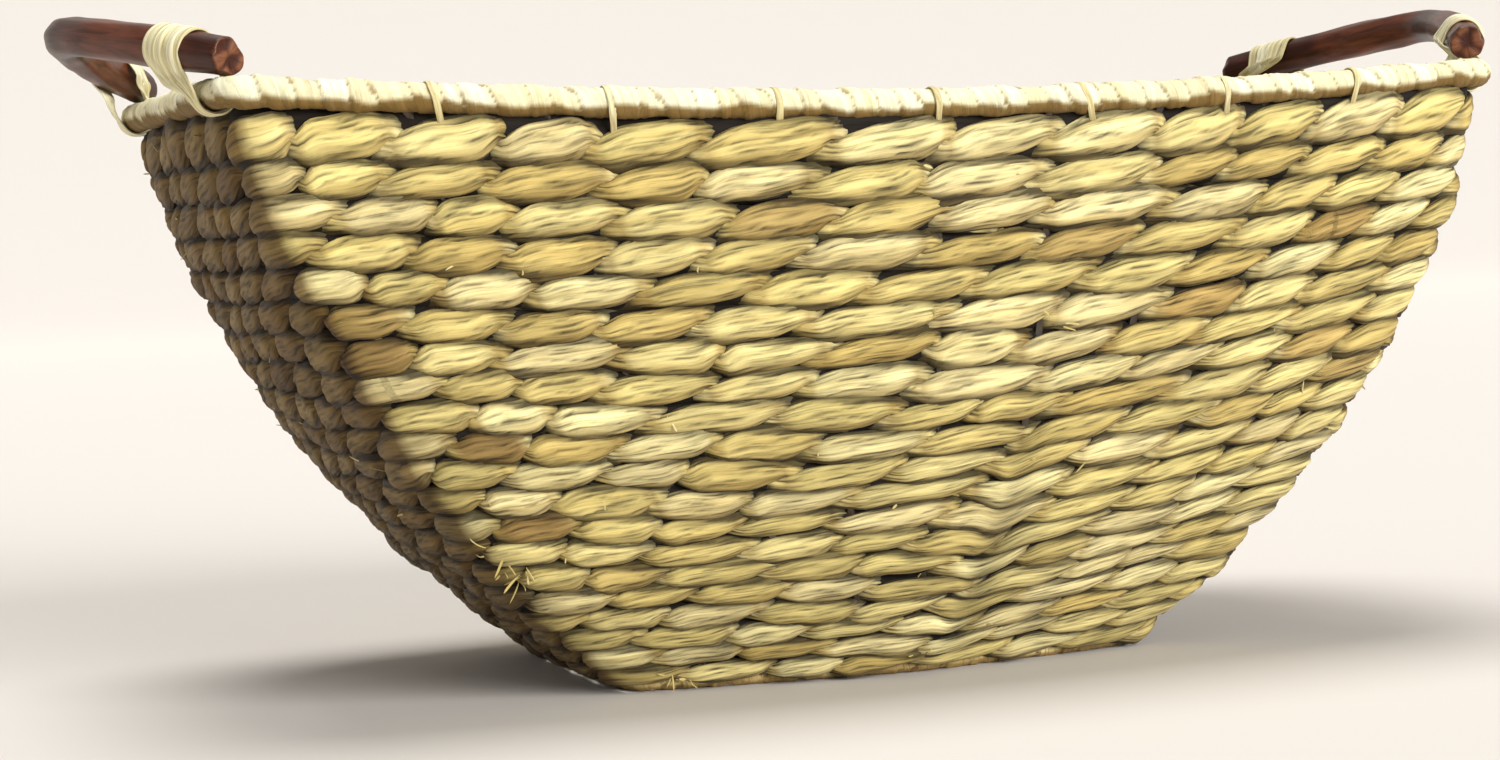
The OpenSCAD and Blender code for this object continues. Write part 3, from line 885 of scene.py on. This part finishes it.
def make_stick(label, side):
    rng = np.random.default_rng(41 + side)
    path, total = stick_path(1.0 * MM / DETAIL)
    n = len(path)
    t = np.linspace(0, 1, n)
    tangent = unit(np.gradient(path, axis=0))
    up = np.array([0.0, 0.0, 1.0])
    out = np.cross(tangent, up)
    m = int(40 * DETAIL)
    phi = np.arange(m) / m * TAU
    swell = 1 + 0.03 * loop_noise(rng, t, (2, 3, 5, 8))
    lumps = np.zeros((n, m))
    for _ in range(9):
        place, turn = rng.uniform(0.25, 0.75), rng.uniform(0, TAU)
        gap = np.abs((phi - turn + math.pi) % TAU - math.pi)
        near = np.exp(-((t - place) * total / (7 * MM)) ** 2)[:, None]
        lumps += rng.uniform(0.3, 0.8) * MM * near * np.exp(-(gap / 0.6) ** 2)[None, :]
    facets = 0.022 * np.cos(7 * phi[None, :] + 2 * loop_noise(rng, t, (1, 2, 3))[:, None])
    r = STICK_D / 2 * (0.99 * swell[:, None] + facets) + lumps
    # The cut ends are trimmed with a few knife strokes, so their edges are broken.
    edge = np.minimum(t, 1 - t)[:, None] * total
    strokes = np.clip(np.cos(2.5 * phi + 1.1) + 0.4 * np.cos(5 * phi), 0, 1)
    cut = (0.5 + 2.6 * strokes)[None, :] * MM
    trim = smooth_step(0, 1, edge / cut)
    r = r * mix(1 - 0.05 - 0.16 * strokes[None, :], 1.0, trim)
    points = (path[:, None, :] + out[:, None, :] * (r * np.cos(phi))[..., None]
              + up[None, None, :] * (r * np.sin(phi))[..., None])
    shift = 1.2 * MM * np.sin(phi + 0.6)[None, :] * np.exp(-edge / (2 * MM))
    points += tangent[:, None, :] * (shift * np.sign(0.5 - t)[:, None])[..., None]
    colour_main = mix(WOOD_TONES[0], WOOD_TONES[1],
                      smooth_step(-1, 1, loop_noise(rng, t, (2, 5, 9)))[:, None])
    colour = np.broadcast_to(colour_main[:, None, :], points.shape).copy()
    colour = mix(colour, WOOD_TONES[2], (np.clip(lumps / (0.8 * MM), 0, 1) * 0.5)[..., None])
    colour = mix(colour, WOOD_TONES[2], np.broadcast_to(0.7 * (1 - trim), r.shape)[..., None])
    caps = [cut_face(rng, points[k], tangent[k] * way, phi)
            for k, way in ((0, -1), (-1, 1))]
    points = np.concatenate([caps[0][0], points, caps[1][0][::-1]])
    colour = np.concatenate([caps[0][1], colour, caps[1][1][::-1]])
    count = len(points)
    along = np.linspace(0, total, count)
    fibre = np.stack([np.broadcast_to(along[:, None], (count, m)),
                      np.broadcast_to((phi * 6 * MM)[None, :], (count, m)),
                      np.full((count, m), side + 2.0)], -1)
    strand = {"points": on_rim(points, side), "colour": colour, "fibre": fibre,
              "closed": False}
    piece = grid_mesh(f"{label}_varnished_stick", [strand], f"{label}_handle",
                      (f"{label}_handle_stick",))
    piece.data.materials.append(wood_material())


def make_lashing(label, place, side, end, seed):
    """Turns of raffia round one end of the stick and the rim below it. On the stick they
    lie square to it; on the rim they gather towards the corner."""
    rng = np.random.default_rng(seed)
    strands = []
    for k in range(LASH_TURNS):
        spread = k - (LASH_TURNS - 1) / 2
        y_stick = LASH_PLACE - 3.5 * MM + spread * 2.5 * MM
        y_rim = LASH_PLACE + 8 * MM + spread * 1.3 * MM
        grow = rng.uniform(0.6, 1.0) * MM
        slope = float(stick_slope(y_stick))
        lie = 1 / math.sqrt(1 + slope * slope)
        x_stick = float(stick_x(y_stick))
        reach = STICK_D / 2 + grow
        tight = WRAP_D / 2 + 0.9 * MM + rng.uniform(0, 0.9) * MM
        loop = convex_loop(np.concatenate([
            oval(x_stick, STICK_OFFSET, reach * lie, reach), oval(0, 0, tight, tight)]), 0.9 * MM)
        line = np.array([x_stick, STICK_OFFSET])
        along = loop @ line / (line @ line)
        on_stick = smooth_step(0.25, 0.75, along)
        y = mix(y_rim, y_stick + slope * (loop[:, 0] - x_stick) * lie**2, on_stick)
        bend = 0.35 * MM * loop_noise(rng, np.arange(len(loop)) / len(loop), (1, 2, 3))
        local = np.stack([loop[:, 0], end * (y + bend), loop[:, 1]], -1)
        path = on_rim(local, side)
        across = np.stack([-slope * on_stick * end, np.full(len(loop), 1.0),
                           np.zeros(len(loop))], -1)
        across = on_rim(across, side) - on_rim(np.zeros_like(across), side)
        strands.append(strip_tube(rng, path, across, rng.uniform(2.6, 4.0) * MM, 1.0 * MM,
                                  LASH_TONES, seed + k))
    name = f"{label}_{place}_lashing"
    piece = grid_mesh(f"{name}_raffia", strands, f"{label}_handle", (name,))
    piece.data.materials.append(raffia_material())


# ---- loose fibres ---------------------------------------------------------------------
# Worn places: share of the way down, share of the way round, and fibres in the tuft.
FRAY_SPOTS = ((0.72, 0.995, 10), (0.66, 0.99, 5), (0.985, 0.015, 7), (0.30, 0.2, 3))
SINGLE_FRAYS = 90


def fray(rng, place, face, tip, length):
    """One thin fibre that stands off the wall at a place."""
    n = 9
    f = np.linspace(0, 1, n)[:, None]
    curl = 0.25 * length * rng.standard_normal(3)
    path = place + (face * 0.45 + tip) * length * f + curl * f * f
    return strip_tube(rng, path, np.cross(face, tip) + 1e-3, rng.uniform(0.45, 1.0) * MM,
                      0.25 * MM, STRAW, rng.random() * 9, closed=False)


def make_frays():
    """Broken fibres, in tufts at a few worn places and singly all over."""
    rng = np.random.default_rng(71)
    strands = []
    spots = [(u, at, 0.012) for u, at, count in FRAY_SPOTS for _ in range(count)]
    spots += [(rng.uniform(0, 1), rng.random(), 0.0) for _ in range(SINGLE_FRAYS)]
    for u, at, spread in spots:
        u = min(max(u + rng.normal() * spread, 0), 1)
        ring = wall_at(u)
        i = int((at + rng.normal() * spread * 0.4) % 1 * len(ring))
        tangent = unit(ring[(i + 2) % len(ring)] - ring[i - 2])
        down = unit(wall_at(u + 0.01)[i] - ring[i])
        face = -np.cross(tangent, down)
        tip = unit(tangent * rng.normal() + down * rng.normal() + face * 0.15)
        length = rng.uniform(3, 9) * MM * (0.55 if spread == 0 else 1)
        strands.append(fray(rng, ring[i] - face * 1.2 * MM, face, tip, length))
    piece = grid_mesh("loose_fibres", strands, "root")
    piece.data.materials.append(raffia_material())


# ---- base -----------------------------------------------------------------------------
BRAID_TONES = [linear(214, 190, 130), linear(196, 170, 112), linear(226, 206, 150)]
# Colours of painted shade on the braid: under its overlapping turns, and on its lower side.
BRAID_TUCK_SHADE, BRAID_UNDERSIDE_SHADE = linear(84, 60, 30), linear(150, 122, 70)
BASE_ROWS, BASE_SPACING = 13, 24 * MM


def base_ring(inset, z):
    """Ring that lies inside the wall's outer foot by the given inset."""
    ring = soften(wall_ring(1.0), 3)
    t = unit(np.roll(ring, -1, axis=0) - np.roll(ring, 1, axis=0))
    return np.stack([ring[:, 0] - inset * t[:, 1], ring[:, 1] + inset * t[:, 0],
                     np.full(len(ring), z)], -1)


def make_base_braid():
    rng = np.random.default_rng(51)
    strand = wrapped_tube(rng, base_ring(BRAID_INSET, BRAID_D / 2 + 0.15 * MM),
                          BRAID_D / 2 * 0.97, 13 * MM, 0.5 * MM, 0.9 * MM / DETAIL, 0,
                          BRAID_TONES, BRAID_TUCK_SHADE, BRAID_UNDERSIDE_SHADE)
    piece = grid_mesh("blocked_base_braid", [strand], "root", ("base_braid",))
    piece.data.materials.append(twine_material())


def make_base_weave():
    """Twined rows that fill the base between the braids."""
    edge = base_ring(MAT_INSET, 0)
    reach = edge[:, 1].max()
    pitch = 2 * reach / BASE_ROWS
    strands = []
    for k in range(BASE_ROWS):
        rng = np.random.default_rng(200 + k)
        y = -reach + (k + 0.5) * pitch
        outer = min(abs(y) + pitch / 2, reach * 0.985)
        near = edge[np.abs(np.abs(edge[:, 1]) - outer) < 2.5 * MM]
        half = np.abs(near[:, 0]).max() - 1.5 * MM
        n = int(2 * half / (2.4 * MM / DETAIL))
        x = np.linspace(-half, half, n)
        centre = np.stack([x, np.full(n, y), np.full(n, MAT_T / 2)], -1)
        up = np.broadcast_to(np.array([0.0, 0.0, 1.0]), (n, 3))
        across = np.broadcast_to(np.array([0.0, 1.0, 0.0]), (n, 3))
        pair = twist_strands(rng, centre, up, across, np.full(n, pitch * 1.03),
                             np.full(n, MAT_T * 0.94), np.full(n, BASE_SPACING), 0.4, 40 + k)
        for strand in pair:
            strand["closed"] = False
        strands += pair
    piece = grid_mesh("twined_base_weave", strands, "root", ("base_mat",))
    piece.data.materials.append(twine_material())


# ---- stage, lights and camera ---------------------------------------------------------
PAPER = (238, 233, 227)
# Height above the floor, and the paper's share of its full brightness there.
PAPER_SHARES = ((0.0, 0.79), (0.02, 0.755), (0.05, 0.735), (0.1, 0.725), (0.3, 0.715),
                (0.7, 0.705))
SURROUND, SURROUND_TINT, LIGHT_TINT = 0.24, (1.0, 0.985, 0.965), (1.0, 0.988, 0.965)
# Strength, direction (degrees round from the front, degrees up) and spread in degrees.
FRONT_LIGHT = (3.6, 27, 20, 40)
TOP_LIGHT = (2.3, 170, 80, 30)
CAMERA_PLACE, CAMERA_LENS = (-0.415, -1.009, 0.1635), 68.04
CAMERA_YAW, CAMERA_PITCH, CAMERA_ROLL = (math.radians(a) for a in (21.0, 3.1, -2.0))


def make_stage():
    """Pale floor that curves up far behind the basket. The paper's brightness changes a
    little where it turns up to face the light, so that floor and background look alike."""
    front, back, curve, width, top = 20.0, 4.0, 2.0, 20.0, 5.0
    profile = [(-front, 0.0), (back, 0.0)]
    profile += [(back + curve * math.sin(a), curve - curve * math.cos(a))
                for a in np.radians(np.arange(3, 91, 3))]
    profile.append((back + curve, top))
    verts = [(x, y, z) for y, z in profile for x in (-width, width)]
    faces = [(2 * k, 2 * k + 1, 2 * k + 3, 2 * k + 2) for k in range(len(profile) - 1)]
    mesh = bpy.data.meshes.new("studio_floor")
    mesh.from_pydata(verts, [], faces)
    floor = bpy.data.objects.new("studio_floor", mesh)
    bpy.context.scene.collection.objects.link(floor)
    material, tree, shader = new_material("studio_paper")
    place = add_node(tree, "ShaderNodeTexCoord").outputs["Object"]
    height = add_node(tree, "ShaderNodeSeparateXYZ", {0: place}).outputs["Z"]
    paper = linear(*PAPER)
    shade = ramp(tree, height, [(z, tuple(paper * share)) for z, share in PAPER_SHARES])
    tree.links.new(shade, shader.inputs["Base Color"])
    shader.inputs["Roughness"].default_value = 1.0
    shader.inputs["Specular IOR Level"].default_value = 0.0
    mesh.materials.append(material)
    for polygon in mesh.polygons:
        polygon.use_smooth = True


def make_lights():
    """Even pale surroundings, a low soft light from the right of the front, which leaves
    the left end in shade, and a weaker soft one from overhead."""
    world = bpy.data.worlds.new("studio")
    bpy.context.scene.world = world
    world.use_nodes = True
    background = world.node_tree.nodes["Background"]
    background.inputs["Color"].default_value = (*SURROUND_TINT, 1)
    background.inputs["Strength"].default_value = SURROUND
    for name, (power, azimuth, elevation, spread) in (("front_light", FRONT_LIGHT),
                                                      ("top_light", TOP_LIGHT)):
        lamp = bpy.data.lights.new(name, "SUN")
        lamp.energy = power
        lamp.angle = math.radians(spread)
        lamp.color = LIGHT_TINT
        item = bpy.data.objects.new(name, lamp)
        azimuth, elevation = math.radians(azimuth), math.radians(elevation)
        source = Vector((math.sin(azimuth) * math.cos(elevation),
                         -math.cos(azimuth) * math.cos(elevation), math.sin(elevation)))
        item.rotation_euler = source.to_track_quat("Z", "Y").to_euler()
        bpy.context.scene.collection.objects.link(item)


def make_camera():
    """Camera at the photograph's viewing angle."""
    ahead = Vector((math.sin(CAMERA_YAW) * math.cos(CAMERA_PITCH),
                    math.cos(CAMERA_YAW) * math.cos(CAMERA_PITCH), -math.sin(CAMERA_PITCH)))
    level = Vector((math.cos(CAMERA_YAW), -math.sin(CAMERA_YAW), 0))
    above = level.cross(ahead)
    right = math.cos(CAMERA_ROLL) * level + math.sin(CAMERA_ROLL) * above
    upward = math.cos(CAMERA_ROLL) * above - math.sin(CAMERA_ROLL) * level
    camera = bpy.data.cameras.new("camera")
    camera.sensor_width = 36
    camera.lens = CAMERA_LENS
    item = bpy.data.objects.new("camera", camera)
    turn = Matrix((right, upward, -ahead)).transposed().to_4x4()
    item.matrix_world = Matrix.Translation(CAMERA_PLACE) @ turn
    bpy.context.scene.collection.objects.link(item)
    bpy.context.scene.camera = item


def finish_wires():
    """Gives the carried-over wire parts their material."""
    names = ["rim_rod", "front_stakes", "back_stakes", "left_end_stakes",
             "right_end_stakes", "base_hoop", "base_cross_wires"]
    for name in names:
        piece = frame["nodes"][name]
        piece.data.materials.clear()
        piece.data.materials.append(wire_material())


make_camera()
make_stage()
make_lights()
bpy.context.scene.view_settings.view_transform = "Standard"
for number in range(1, COURSES + 1):
    make_course(number)
make_rim()
make_ties()
for label, side in (("left", -1), ("right", 1)):
    make_stick(label, side)
make_lashing("left", "front", -1, 1, 61)
make_lashing("left", "back", -1, -1, 62)
make_lashing("right", "front", 1, -1, 63)
make_lashing("right", "back", 1, 1, 64)
make_base_braid()
make_base_weave()
make_frays()
finish_wires()
